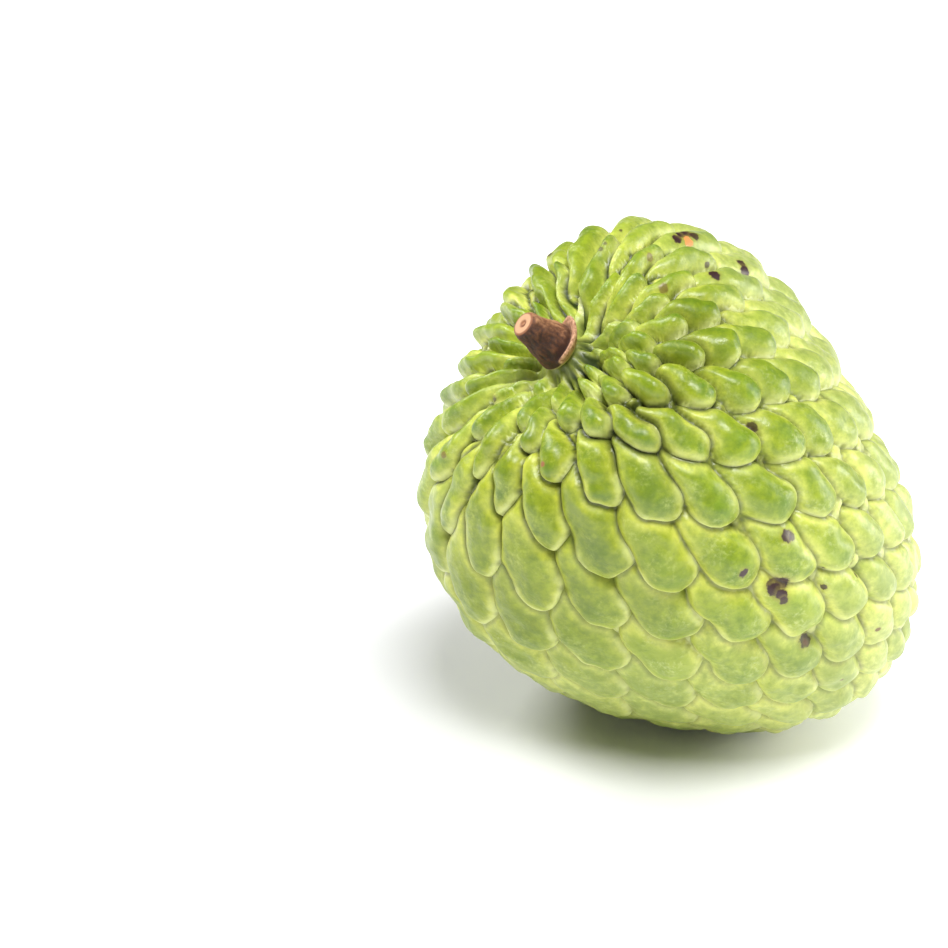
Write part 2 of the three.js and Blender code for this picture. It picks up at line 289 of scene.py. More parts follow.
# Marks on the skin
DARK = colour(56, 32, 32)
BROWN = colour(112, 74, 48)
RED = colour(150, 84, 58)
ORANGE = colour(232, 148, 82)
MARK_HALO = colour(150, 140, 62)
MARK_WOBBLE = 1.1  # size of the unevenness of their outlines
MARK_UNEVEN = 1.3  # shares of a mark's radius, like the next two
MARK_CORE = (1.8, 1.45)
MARK_HALO_WIDTH = (2.5, 1.5)
MARK_HALO_SHARE = 0.4  # of its strength

# Bark and cut end
BARK_DARK = colour(46, 22, 10)
BARK_BROWN = colour(118, 74, 46)
BARK_TAN = colour(186, 138, 98)
BARK_GRAIN = 0.7
BARK_FINE_GRAIN = 0.25
RIDGE_SHADE = 0.06
UNDERSIDE_SHADE = 0.8
BROWN_FROM = (-0.45, 0.25)  # shades between which the dark turns brown, and then tan
TAN_FROM = (-0.05, 0.55)
GROOVE_SHADE = 0.75
COLLAR_TAN = colour(214, 168, 132)
COLLAR_DARK = colour(150, 100, 72)
COLLAR_GRAIN = (0.3, 0.6)
COLLAR_EDGE = (0.1, 0.45)
FOOT_PALE = colour(196, 180, 120)
FOOT_HEIGHTS = (0.7, 0.3)
FOOT_RADII = (3.0, 3.8)
CUT_PALE = colour(200, 156, 118)
CUT_RING = colour(140, 90, 60)
CUT_HEIGHTS = (9.0, 9.4)
CUT_RADII = (2.35, 2.2)
PITH_EDGE = (0.5, 1.0)
RING_EDGE = (1.75, 2.1)
BARK_ROUGHNESS = (0.6, 0.85)
BARK_BUMP = 0.6

# Camera and studio
CAMERA_DISTANCE = 487.7
CAMERA_RISE = math.radians(25)
CAMERA_LENS = 100.0
SENSOR = 36.0
ASIDE = 37.3  # how far the fruit's middle is right of the picture's
BELOW = 1.5
LIGHT_DISTANCE = 0.9  # metres
WORLD = 0.075
LIGHTS = (  # name, azimuth and angle from upright in degrees, power in watts, size in metres
    ("key", 275, 28, 8.3, 0.3),
    ("side", 2, 76, 4.6, 0.4),
    ("edge", 160, 42, 6.8, 0.4),
)
FLOOR_SIZE = 6  # metres, as are the next three
FLOOR_GAP = 0.00005
# painted light: the floor's glow, around a dim patch set off to one side of the fruit, where its
# shadow falls
GLOW_MIDDLE = (-0.03, -0.003, 0.0)
FLOOR_GLOW = (0.035, 0.09, 0.02, 0.85)  # distances between which it begins, and its strengths
FLOOR_COLOUR = (0.7, 0.705, 0.72, 1)
FLOOR_ROUGHNESS = 0.7
WHITE = (1, 1, 1, 1)

# The marks one by one: arc from the stalk, azimuth in degrees, radius, strength and colour
MARKS = (
    # Curved dark scar with an orange middle
    (38, 11.5, 1.0, 1.0, DARK),
    (39.5, 12.5, 1.1, 1.0, DARK),
    (41, 12.5, 1.1, 1.0, DARK),
    (42.5, 11, 1.0, 0.9, DARK),
    (40.5, 9.5, 1.1, 1.0, ORANGE),
    # Dark spot, and the crescent beside it
    (41, 347.5, 1.1, 1.0, DARK),
    (40.5, 353, 0.6, 0.8, DARK),
    (53, 1, 0.9, 1.0, DARK),
    (53.8, 358.5, 1.2, 1.0, DARK),
    (53.8, 355.5, 1.1, 1.0, DARK),
    # Small ones on the long scales beside the stalk
    (37, 62, 0.9, 0.9, RED),
    (30.5, 62, 0.6, 0.8, DARK),
    (22, 53, 0.4, 0.9, DARK),
    (21, 34, 0.5, 0.5, DARK),
    (22, 31, 0.6, 0.6, DARK),
    (23.5, 29.5, 0.5, 0.6, DARK),
    (32.5, 33.5, 0.35, 0.7, DARK),
    (27, 3.5, 0.9, 0.6, BROWN),
    (25.5, 339.5, 0.9, 0.6, BROWN),
    (21.5, 304, 0.9, 0.8, BROWN),
    # Dark spots down the side, and the large blot of several
    (47, 286.5, 1.1, 0.85, DARK),
    (64.4, 272, 1.2, 0.95, DARK),
    (65.4, 272.5, 0.8, 0.8, DARK),
    (64, 260, 0.9, 1.0, DARK),
    (70.4, 263, 1.1, 1.0, DARK),
    (71.4, 264.5, 1.4, 1.0, DARK),
    (71.4, 262.5, 1.3, 1.0, DARK),
    (72.9, 263, 1.1, 1.0, DARK),
    (74.1, 262.5, 0.8, 0.9, DARK),
    (87.5, 260, 1.3, 0.9, DARK),
    (87.7, 259.8, 0.6, 0.7, BROWN),
    (76.5, 273, 0.5, 0.9, DARK),
    (79.5, 270.5, 0.7, 0.9, DARK),
    (80, 279.5, 0.5, 0.8, DARK),
    (84.5, 278.5, 0.6, 0.9, DARK),
    (102, 281, 0.6, 0.8, BROWN),
    (99, 274.5, 0.5, 0.8, BROWN),
    (104, 260, 0.4, 0.8, BROWN),
    # Small ones on the other side of the stalk
    (15.5, 160, 0.8, 0.7, DARK),
    (16.5, 161, 0.5, 0.6, DARK),
    (27.5, 224, 0.5, 0.8, RED),
    (30, 167, 0.7, 0.6, BROWN),
    (34, 173.5, 0.6, 0.4, BROWN),
    # A few on the sides and at the back
    (25, 109, 0.5, 0.3, BROWN),
    (52, 118, 0.9, 0.8, DARK),
    (70, 95, 1.3, 0.9, DARK),
    (71, 97, 0.9, 0.9, DARK),
    (88, 140, 0.8, 0.8, BROWN),
    (60, 40, 0.7, 0.8, DARK),
    (95, 20, 1.0, 0.8, BROWN),
    (110, 330, 0.6, 0.8, DARK),
    (104, 80, 0.5, 0.9, DARK),
)

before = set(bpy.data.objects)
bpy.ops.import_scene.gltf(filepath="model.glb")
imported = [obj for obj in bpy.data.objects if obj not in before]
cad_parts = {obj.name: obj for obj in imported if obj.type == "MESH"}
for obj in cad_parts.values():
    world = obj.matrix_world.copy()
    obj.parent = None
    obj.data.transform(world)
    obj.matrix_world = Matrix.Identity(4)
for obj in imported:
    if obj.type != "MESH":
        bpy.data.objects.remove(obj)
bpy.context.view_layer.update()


# ---- Helpers ----


def waves(points, length, height, seed, count=14):
    """Smooth random waves of one length over points in space."""
    rng = np.random.default_rng(seed)
    way = unit(rng.normal(size=(count, 3))) * 2 * math.pi / length
    phase = rng.uniform(0, 2 * math.pi, count)
    return height * np.sin(points @ way.T + phase).sum(1) / math.sqrt(count / 2)


def unit(vectors):
    return vectors / np.linalg.norm(vectors, axis=-1, keepdims=True)


def subset(place, chosen):
    return SimpleNamespace(**{name: values[chosen] for name, values in vars(place).items()})


def smooth(x, low, high):
    """Goes smoothly from 0 to 1 as x goes from low to high."""
    x = np.clip((x - low) / (high - low), 0, 1)
    return x * x * (3 - 2 * x)


def between(x, start, end):
    """Goes smoothly from 0 to 1 over the start and back to 0 over the end."""
    return smooth(x, *start) * (1 - smooth(x, *end))


def bell(x, width):
    """1 where x is 0, and less on both sides of it."""
    return np.exp(-((x / width) ** 2))


def leaning(lean, azimuth):
    """Directions that lean from upright towards an azimuth."""
    aside = np.sin(lean)
    return np.stack([aside * np.cos(azimuth), aside * np.sin(azimuth), np.cos(lean)], -1)


# ---- Body ----


def meridian_radius(t):
    side = np.sin(t)
    return RADIUS * side * (1 + TOP_TAPER * np.cos(t) + WAIST * side**2)


def meridian_height(t, radius):
    top = np.cos(t)
    hollow = CAVITY_DEPTH * (1 + top) / 2 * bell(radius, CAVITY_RADIUS)
    return HALF_LENGTH * top - hollow


def body_points(t, azimuth):
    oval = OVAL * np.cos(2 * (azimuth - OVAL_AT))
    lobes = LOBES * np.sin(t) * np.cos(3 * (azimuth - LOBES_AT))
    radius = meridian_radius(t) * (1 + oval + lobes)
    height = meridian_height(t, radius)
    bow = BOW * ((height / HALF_LENGTH) ** 2 - BOW_REST)
    return np.stack([radius * np.cos(azimuth), radius * np.sin(azimuth) + bow, height], -1)


def body_normals(t, azimuth):
    t = np.clip(t, NORMAL_STEP, math.pi - NORMAL_STEP)
    down = body_points(t + NORMAL_STEP, azimuth) - body_points(t - NORMAL_STEP, azimuth)
    around = body_points(t, azimuth + NORMAL_STEP) - body_points(t, azimuth - NORMAL_STEP)
    return unit(np.cross(down, around))


def make_meridian():
    t = np.linspace(0, math.pi, MERIDIAN_STEPS + 1)
    radius = meridian_radius(t)
    height = meridian_height(t, radius)
    arc = np.append(0, np.cumsum(np.hypot(np.diff(radius), np.diff(height))))
    return SimpleNamespace(t=t, radius=radius, arc=arc, slope=np.gradient(radius, arc))


meridian = make_meridian()
body_arc = meridian.arc[-1]


def places(directions):
    """The place on the body, and in the pattern of scales, that each direction stands for."""
    t = np.arccos(np.clip(directions[:, 2], -1, 1))
    azimuth = np.arctan2(directions[:, 1], directions[:, 0])
    arc = np.interp(t, meridian.t, meridian.arc)
    radius = np.interp(t, meridian.t, meridian.radius)
    points = directions * RADIUS
    growth, swing, at = REACH
    reach = (growth + swing * np.cos(azimuth - at)) * smooth(arc, *REACH_ARCS)
    reach *= np.exp(-np.maximum(arc - REACH_ARCS[1], 0) / REACH_FADE)
    aside = waves(points, WAVER_LENGTH, WAVER, TURN_SEED)
    return SimpleNamespace(
        t=t,
        azimuth=azimuth,
        arc=arc - reach + waves(points, WAVER_LENGTH, WAVER, ARC_SEED),
        turn=azimuth + aside / np.maximum(radius, WAVER_RADIUS),
        radius=radius,
        slope=np.interp(t, meridian.t, meridian.slope),
    )


# ---- Scales ----


def make_scales(rng):
    """All the scales: each value is an array with an entry for each scale."""
    arcs, azimuths, sizes = [], [], []
    arc, turn = FIRST_ARC, SPIRAL_START
    while arc < body_arc - LAST_ARC_MARGIN:
        per_mm = SCALES_PER_MM[0] + (SCALES_PER_MM[1] - SCALES_PER_MM[0]) * arc / body_arc
        per_mm += MORE_BESIDE_STALK[0] * bell(arc, MORE_BESIDE_STALK[1])
        crowd = sum(amount * math.sin(n * (turn - at)) for n, amount, at in CROWDING)
        spread = 1 + sum(n * amount * math.cos(n * (turn - at)) for n, amount, at in CROWDING)
        radius = np.interp(arc, meridian.arc, meridian.radius)
        arcs.append(arc)
        azimuths.append(turn + crowd)
        sizes.append(math.sqrt(2 * math.pi * radius / per_mm * spread))
        turn -= GOLDEN_ANGLE
        arc += 1 / per_mm
    arc, azimuth, size = np.array(arcs), np.array(azimuths), np.array(sizes)
    count = len(arc)
    radius = np.interp(arc, meridian.arc, meridian.radius)
    stray = smooth(arc, *STRAY_ARCS)
    azimuth += SHIFT_ACROSS * stray * rng.uniform(-1, 1, count) / radius
    swing = 1 + STRETCH_SWING * np.cos(azimuth - STRETCH_SWING_AT)
    stretch = STRETCH + CAVITY_STRETCH * swing * bell(arc, STRETCH_ARC)
    relief = RELIEF + CAVITY_RELIEF * bell(arc, CAVITY_RELIEF_ARC)
    relief += BLOSSOM_RELIEF * smooth(arc, *BLOSSOM_RELIEF_ARCS)
    relief *= 1 - CALM * calm_share(arc, azimuth)
    return SimpleNamespace(
        arc=arc + SHIFT_ALONG * stray * rng.uniform(-1, 1, count),
        azimuth=azimuth,
        radius=radius,
        relief=relief,
        half_width=HALF_WIDTH * size / stretch**WIDTH_FALL * rng.uniform(*WIDTH_RANGE, count),
        tip=TIP_LENGTH * size * stretch**TIP_GROWTH * rng.uniform(*TIP_RANGE, count),
        tail=TAIL_LENGTH * size * stretch**TAIL_GROWTH,
        twist=TWIST * rng.uniform(-1, 1, count),
        lift=rng.uniform(*LIFT_RANGE, count),
        tone=rng.uniform(0, 1, count),
        dent=DENT * np.maximum(rng.uniform(*DENT_DRAW, count), 0),
        dent_across=rng.uniform(*DENT_ACROSS, count),
        dent_along=rng.uniform(*DENT_ALONG, count),
    )


def calm_share(arc, azimuth):
    """1 where the scales are nearly flush with each other, 0 where they stand out."""
    return smooth(arc, *CALM_ARCS) * ((1 + np.cos(azimuth - CALM_AT)) / 2) ** CALM_POWER


scales = make_scales(np.random.default_rng(SEED))


def on_scale(index, place):
    """Where points lie on the scales of these indices: across and along, as shares of its size."""
    turn = place.turn - scales.azimuth[index]
    across = place.radius * np.sin(turn)
    along = place.arc - scales.arc[index] - place.radius * place.slope * (1 - np.cos(turn))
    twist = scales.twist[index]
    across, along = (
        across * np.cos(twist) + along * np.sin(twist),
        along * np.cos(twist) - across * np.sin(twist),
    )
    v = np.where(along > 0, along / scales.tip[index], along / scales.tail[index])
    converging = np.minimum(1, place.radius / scales.radius[index]) ** CONVERGENCE
    narrowing = (1 - TAIL_NARROWING * smooth(-v, 0, 1)) * converging
    u = across / (scales.half_width[index] * np.maximum(narrowing, TINY))
    return np.where(np.cos(turn) > 0, u, OFF_SCALE), v


def scale_heights(index, place):
    """Heights above the body of the scales of these indices, at points on or around them."""
    u, v = on_scale(index, place)
    out = (np.abs(u) ** OUTLINE_POWER + np.abs(v) ** OUTLINE_POWER) ** (1 / OUTLINE_POWER)
    dome = (1 - np.minimum(out, 1) ** CUSHION_SHAPE[0]) ** CUSHION_SHAPE[1]
    ground = PIT_SLOPE * np.clip(out - 1, 0, PIT_REACH)
    rise = np.clip(v, -1, 1) - 1
    heights = scales.relief[index] * (CUSHION * (dome - 1 - ground) + TILT * rise)
    from_dent = (u - scales.dent_across[index]) ** 2 + (v - scales.dent_along[index]) ** 2
    dent = scales.dent[index] * np.exp(-np.minimum(from_dent / DENT_SIZE**2, NEGLIGIBLE))
    return heights + scales.lift[index] - dent


def highest(candidates, place, barred=None):
    """Which of its candidates stands highest at each point, leaving out the barred scale."""
    points = np.arange(len(candidates))
    repeated = subset(place, np.repeat(points, candidates.shape[1]))
    heights = scale_heights(candidates.ravel(), repeated).reshape(candidates.shape)
    if barred is not None:
        heights = np.where(candidates == barred[:, None], -np.inf, heights)
    return candidates[points, heights.argmax(1)]


def top_scale(place):
    """The scale that stands highest at each point."""
    top = np.zeros(len(place.arc), int)
    order = np.argsort(place.arc)
    for start in range(0, len(order), BLOCK):
        block = order[start : start + BLOCK]
        low, high = place.arc[block[0]], place.arc[block[-1]]
        near = (scales.arc > low - NEIGHBOURS_AHEAD) & (scales.arc < high + NEIGHBOURS_BEHIND)
        candidates = np.tile(np.flatnonzero(near), (len(block), 1))
        top[block] = highest(candidates, subset(place, block))
    return top


# ---- Mesh of the skin ----


def geodesic_sphere(frequency):
    """Directions, triangles and each triangle corner's place on a flat map of 20 patches."""
    golden = (1 + math.sqrt(5)) / 2
    corners = np.array([(s, t * golden, 0) for s in (-1, 1) for t in (-1, 1)])
    corners = np.concatenate([np.roll(corners, shift, 1) for shift in range(3)])
    corners /= np.linalg.norm(corners[0])
    edge = min(np.linalg.norm(corners[1:] - corners[0], axis=1)) + TINY

    def longest_edge(side):
        return max(np.linalg.norm(side - np.roll(side, 1, 0), axis=1))

    sides = [side for side in combinations(corners, 3) if longest_edge(np.array(side)) < edge]
    i, j = np.meshgrid(np.arange(frequency + 1), np.arange(frequency + 1), indexing="ij")
    inside = i + j <= frequency
    number = np.full(inside.shape, -1)
    number[inside] = np.arange(inside.sum())
    a, b = i[inside] / frequency, j[inside] / frequency
    i, j = i[i + j < frequency], j[i + j < frequency]
    upright = np.stack([number[i, j], number[i + 1, j], number[i, j + 1]], 1)
    i, j = i[i + j < frequency - 1], j[i + j < frequency - 1]
    inverted = np.stack([number[i + 1, j], number[i + 1, j + 1], number[i, j + 1]], 1)
    patch = np.concatenate([upright, inverted])
    directions, triangles, flat = [], [], []
    for place, (p, q, r) in enumerate(sides):
        if np.dot(np.cross(q - p, r - p), p) < 0:
            q, r = r, q
        directions.append(p + a[:, None] * (q - p) + b[:, None] * (r - p))
        triangles.append(patch + place * len(a))
        flat.append(patch_on_map(place, a, b))
    directions = unit(np.concatenate(directions))
    triangles = np.concatenate(triangles)
    flat = np.concatenate(flat)[triangles]
    _, first, same = np.unique(
        np.round(directions / TINY).astype(np.int64), axis=0, return_index=True, return_inverse=True
    )
    return directions[first], same.reshape(-1)[triangles], flat


def patch_on_map(number, a, b):
    """Two patches share each cell of a grid, with a margin between them."""
    columns, rows = MAP_GRID
    row, column = divmod(number // 2, columns)
    a, b = MAP_MARGIN + MAP_PATCH * a, MAP_MARGIN + MAP_PATCH * b
    if number % 2:
        a, b = 1 - a, 1 - b
    return np.stack([(column + a) / columns, (row + b) / rows], 1)


def edges_of(triangles):
    """Each edge once, and the edge number of each triangle's three sides."""
    sides = np.concatenate([triangles[:, [0, 1]], triangles[:, [1, 2]], triangles[:, [2, 0]]])
    edges, number = np.unique(np.sort(sides, 1), axis=0, return_inverse=True)
    return edges, number.reshape(3, -1).T


def neighbour_table(triangles, count):
    """The six points around each point; a point with five has itself as the sixth."""
    edges, _ = edges_of(triangles)
    ends = np.concatenate([edges, edges[:, ::-1]])
    ends = ends[np.argsort(ends[:, 0], kind="stable")]
    rank = np.arange(len(ends)) - np.searchsorted(ends[:, 0], ends[:, 0])
    table = np.tile(np.arange(count)[:, None], (1, 6))
    table[ends[:, 0], rank] = ends[:, 1]
    return table


def drop_slivers(top, place, table, rounds=3):
    """Where a scale shows only as a thin sliver, gives its points to the scales beside it."""
    for _ in range(rounds):
        around = top[table]
        thin = np.flatnonzero((around == top[:, None]).sum(1) < THIN)
        top[thin] = highest(around[thin], subset(place, thin), top[thin])
    return top


def snap_to_creases(directions, triangles, top):
    """Moves the points nearest to a line between two scales onto it, and says which they are."""
    edges, _ = edges_of(triangles)
    a, b = edges[top[edges[:, 0]] != top[edges[:, 1]]].T
    low, high = np.zeros(len(a)), np.ones(len(a))

    def along_edges(share):
        return directions[a] + share[:, None] * (directions[b] - directions[a])

    for _ in range(SNAP_ROUNDS):
        share = (low + high) / 2
        there = places(unit(along_edges(share)))
        ahead = scale_heights(top[a], there) > scale_heights(top[b], there)
        low, high = np.where(ahead, share, low), np.where(ahead, high, share)
    share = (low + high) / 2
    crossing = along_edges(share)
    point = np.concatenate([a, b])
    distance = np.concatenate([share, 1 - share])
    target = np.concatenate([crossing, crossing])
    near = distance <= HALFWAY
    point, distance, target = point[near], distance[near], target[near]
    order = np.lexsort((distance, point))
    snapped, first = np.unique(point[order], return_index=True)
    directions = directions.copy()
    directions[snapped] = target[order][first]
    creased = np.zeros(len(directions), bool)
    creased[snapped] = True
    return unit(directions), creased


def relax(directions, table, fixed, rounds=3):
    """Evens out the points that aren't fixed."""
    for _ in range(rounds):
        middle = (directions + directions[table].mean(1)) / 2
        directions = unit(np.where(fixed[:, None], directions, middle))
    return directions


def triangle_owners(directions, triangles, top, table, creased):
    """The scale that each triangle is on: that of a corner that isn't on a line between scales.

    Where all three corners are on such lines it is the highest scale among those around.
    """
    nearby = top[table[triangles]].reshape(len(triangles), -1)
    owner = highest(nearby, places(unit(directions[triangles].mean(1))))
    for corner in triangles.T:
        owner = np.where(creased[corner], owner, top[corner])
    return owner


def highest_around(place, triangles, owner):
    """The highest of the scales that the triangles around each point are on."""
    point, beside = triangles.ravel(), np.repeat(owner, 3)
    order = np.lexsort((scale_heights(beside, subset(place, point)), point))
    top = np.zeros(len(place.arc), int)
    top[point[order]] = beside[order]
    return top


def fruit_matrix():
    axis = Vector(leaning(LEAN, LEAN_TO))
    uphill = (Vector((0, 0, 1)) - axis * axis.z).normalized()
    across = axis.cross(uphill)
    turn = Matrix((uphill, across, axis)).transposed().to_4x4()
    return Matrix.Translation(Vector(SETTLE) * MM) @ turn @ Matrix.Scale(MM, 4)


def moved(points, matrix):
    matrix = np.array(matrix)
    return points @ matrix[:3, :3].T + matrix[:3, 3]


def new_mesh(name, points, triangles):
    mesh = bpy.data.meshes.new(name)
    mesh.vertices.add(len(points))
    mesh.vertices.foreach_set("co", points.astype(np.float32).ravel())
    mesh.loops.add(triangles.size)
    mesh.loops.foreach_set("vertex_index", triangles.astype(np.int32).ravel())
    mesh.polygons.add(len(triangles))
    mesh.polygons.foreach_set("loop_start", np.arange(0, triangles.size, 3, dtype=np.int32))
    mesh.polygons.foreach_set("loop_total", np.full(len(triangles), 3, np.int32))
    mesh.polygons.foreach_set("use_smooth", np.ones(len(triangles), bool))
    mesh.update(calc_edges=True)
    return mesh


def add_values(mesh, name, values, domain="CORNER"):
    attribute = mesh.attributes.new(name, "FLOAT", domain)
    attribute.data.foreach_set("value", np.asarray(values, np.float32).ravel())


def first_and_last(at, beside, count):
    """Lowest and highest number of the scales beside each edge or point."""
    first, last = np.full(count, len(scales.arc)), np.full(count, -1)
    np.minimum.at(first, at, beside)
    np.maximum.at(last, at, beside)
    return first, last


def crease_edges(triangles, owner):
    """Edges whose two triangles are on two scales."""
    edges, number = edges_of(triangles)
    first, last = first_and_last(number.ravel(), np.repeat(owner, 3), len(edges))
    return edges[first != last]


def corner_points(triangles, owner, count):
    """Points where three scales meet."""
    point, beside = triangles.ravel(), np.repeat(owner, 3)
    first, last = first_and_last(point, beside, count)
    return np.unique(point[(beside != first[point]) & (beside != last[point])])


def along_lines(points, lines, steps=4):
    """Points at even steps along lines between points."""
    shares = np.arange(steps)[:, None, None] / steps
    a, b = points[lines[:, 0]], points[lines[:, 1]]
    return (a + shares * (b - a)).reshape(-1, 3)


def distances(points, targets):
    """Distance from each point to the nearest target."""
    tree = KDTree(len(targets))
    for number, target in enumerate(targets):
        tree.insert(target, number)
    tree.balance()
    return np.array([tree.find(point)[2] for point in points])


def mark_sharp(mesh, lines):
    size = np.int64(len(mesh.vertices))
    ends = np.empty(len(mesh.edges) * 2, np.int32)
    mesh.edges.foreach_get("vertices", ends)
    ends = np.sort(ends.reshape(-1, 2), 1)
    sharp = np.isin(ends[:, 0] * size + ends[:, 1], lines[:, 0] * size + lines[:, 1])
    attribute = mesh.attributes.new("sharp_edge", "BOOLEAN", "EDGE")
    attribute.data.foreach_set("value", sharp)


def skin_surface(place, top):
    """Points of the skin before the lines between scales are cut in, and the body's normals."""
    scaly = smooth(place.arc, *SEAT_ARCS)
    heights = scale_heights(top, place) * scaly - SEAT_DEPTH * (1 - scaly)
    body = body_points(place.t, place.azimuth)
    for turn, (length, height) in enumerate(RIPPLES):
        heights += waves(body, length, height, RIPPLE_SEED + turn) * scaly
    normals = body_normals(place.t, place.azimuth)
    return body + normals * heights[:, None], normals


def overhang(points, top, place, rim):
    """Pushes the ends of the scales outwards, over the lines around them."""
    _, v = on_scale(top, place)
    away = points - scale_middles()[top]
    amount = LIP * rim / LIP_WIDTH * np.exp(1 - rim / LIP_WIDTH) * smooth(v, *LIP_FROM)
    amount *= smooth(place.arc, *NOTCH_ARCS)
    return points + unit(away) * amount[:, None]


def even_out(points, table, lines, rounds=2):
    """Smooths the points a little: along the lines between the scales, and across the rest."""
    count = len(points)
    ends = np.concatenate([lines, lines[:, ::-1]])
    lines_at = np.bincount(ends[:, 0], minlength=count)
    for _ in range(rounds):
        sums = [np.bincount(ends[:, 0], points[ends[:, 1], axis], count) for axis in range(3)]
        along = np.stack(sums, 1) / np.maximum(lines_at, 1)[:, None]
        across = points[table].mean(1)
        target = np.where((lines_at == 2)[:, None], along, across)
        points = np.where((lines_at > 2)[:, None], points, (points + target) / 2)
    return points


def scale_middles():
    """Points 1 mm inside the body, under the middles of the scales."""
    t = np.interp(scales.arc, meridian.arc, meridian.t)
    return body_points(t, scales.azimuth) - body_normals(t, scales.azimuth)


def gap_share(place):
    """1 where the gaps between the scales are widest, 0 elsewhere."""
    facing = smooth(np.cos(place.azimuth - GAP_AT), *GAP_FACING)
    return bell(place.arc - GAP_ARC, GAP_SPREAD) * facing


def soft_share(place):
    """Share by which gaps are shallower, with less painted shade, on the side where they nearly close.
    """
    facing = smooth(np.cos(place.azimuth - SOFT_AT), 0, 1)
    return SOFT_SHARE * facing * bell(place.arc, SOFT_ARC)


def notch_depths(place, top, rim, pit):
    """How much deeper the skin is in the lines between two scales and the pits between three."""
    near_stalk = bell(place.arc, NOTCH_FADE)
    fullness = np.minimum(scales.relief[top] / RELIEF, 1)
    depths = (NOTCH[0] + (NOTCH[1] - NOTCH[0]) * near_stalk) * np.exp(-rim / NOTCH_WIDTH)
    depths *= smooth(place.arc, *NOTCH_ARCS) * fullness * (1 + GAP_DEPTH * gap_share(place))
    depths *= 1 - soft_share(place)
    return depths + PIT * bell(pit, PIT_WIDTH) * fullness**2


def shares_over_fruit(place):
    """What the skin's material needs to know about a point's place on the whole fruit."""
    gap = gap_share(place)
    calm = calm_share(place.arc, place.azimuth)
    # strength of the painted shade in the lines between the scales
    crease = CREASE_SHADE[0] + CREASE_SHADE[1] * bell(place.arc, CREASE_ARC)
    crease *= 1 - CREASE_CALM * calm_share(place.arc - CREASE_CALM_LATER, place.azimuth)
    crease *= 1 - soft_share(place)
    # paler far from the stalk, and painted light: paler sooner on the upper side
    far = smooth(place.arc + LIT_TOP_SWING * np.cos(place.azimuth - LIT_TOP_AT), *FAR_ARCS)
    below = calm * smooth(place.arc, *BELOW_ARCS)
    # painted shade on one side of the fruit and around the widest gaps
    painted_shade = smooth(np.cos(place.azimuth - PAINTED_SHADE_AT), *PAINTED_SHADE_FACING)
    painted_shade *= between(place.arc, PAINTED_SHADE_FROM, PAINTED_SHADE_TO)
    return {
        "crease": crease * smooth(place.arc, *CREASE_FROM),
        "far": np.maximum(far, BELOW_SHARE * below),
        "painted_shade": np.maximum(painted_shade, PAINTED_SHADE_GAP * gap),
        "near": bell(place.arc, NEAR_ARC),
        "gap": gap,
        "calm": calm,
    }


def make_fruit():
    directions, triangles, flat = geodesic_sphere(FREQUENCY)
    table = neighbour_table(triangles, len(directions))
    place = places(directions)
    top = drop_slivers(top_scale(place), place, table)
    directions, creased = snap_to_creases(directions, triangles, top)
    directions = relax(directions, table, creased)
    owner = triangle_owners(directions, triangles, top, table, creased)
    place = places(directions)
    top = highest_around(place, triangles, owner)
    points, normals = skin_surface(place, top)
    lines = crease_edges(triangles, owner)
    rim = distances(points, along_lines(points, lines))
    pit = distances(points, points[corner_points(triangles, owner, len(points))])
    points -= normals * notch_depths(place, top, rim, pit)[:, None]
    points = overhang(points, top, place, rim)
    points = even_out(points, table, lines)
    world = moved(points, fruit_matrix())
    world[:, 2] = np.maximum(world[:, 2], 0)
    mesh = new_mesh("fruit_skin", world, triangles)
    u, v = on_scale(np.repeat(owner, 3), subset(place, triangles.ravel()))
    add_values(mesh, "across", np.clip(u, *PLACE_LIMITS))
    add_values(mesh, "along", np.clip(v, *PLACE_LIMITS))
    add_values(mesh, "tone", np.repeat(scales.tone[owner], 3))
    for name, values in {"rim": rim, "pit": pit, **shares_over_fruit(place)}.items():
        add_values(mesh, name, values, "POINT")
    mark_sharp(mesh, lines)
    layer = mesh.uv_layers.new(name="OFBake")
    layer.data.foreach_set("uv", flat.astype(np.float32).ravel())
    return new_piece("fruit_skin", mesh, skin_material(), "fruit")


# ---- Stalk ----


def stalk_matrix():
    foot = Vector(body_points(np.array(0.0), np.array(0.0))) - Vector((0, 0, SEAT_DEPTH))
    turn_axis = Vector((-math.sin(STALK_LEAN_TO), math.cos(STALK_LEAN_TO), 0))
    return fruit_matrix() @ Matrix.Translation(foot) @ Matrix.Rotation(STALK_LEAN, 4, turn_axis)


def stalk_outline():
    """The profile with rounded corners, as points at even steps."""
    corners = np.array(STALK_PROFILE, float)
    lengths = np.append(0, np.cumsum(np.linalg.norm(np.diff(corners, axis=0), axis=1)))
    steps = np.linspace(0, lengths[-1], int(lengths[-1] / STALK_STEP) + 1)
    outline = np.stack([np.interp(steps, lengths, corners[:, axis]) for axis in (0, 1)], 1)
    for _ in range(STALK_ROUNDING):
        outline[1:-1] = (outline[:-2] + 2 * outline[1:-1] + outline[2:]) / 4
    return outline[1:-1]


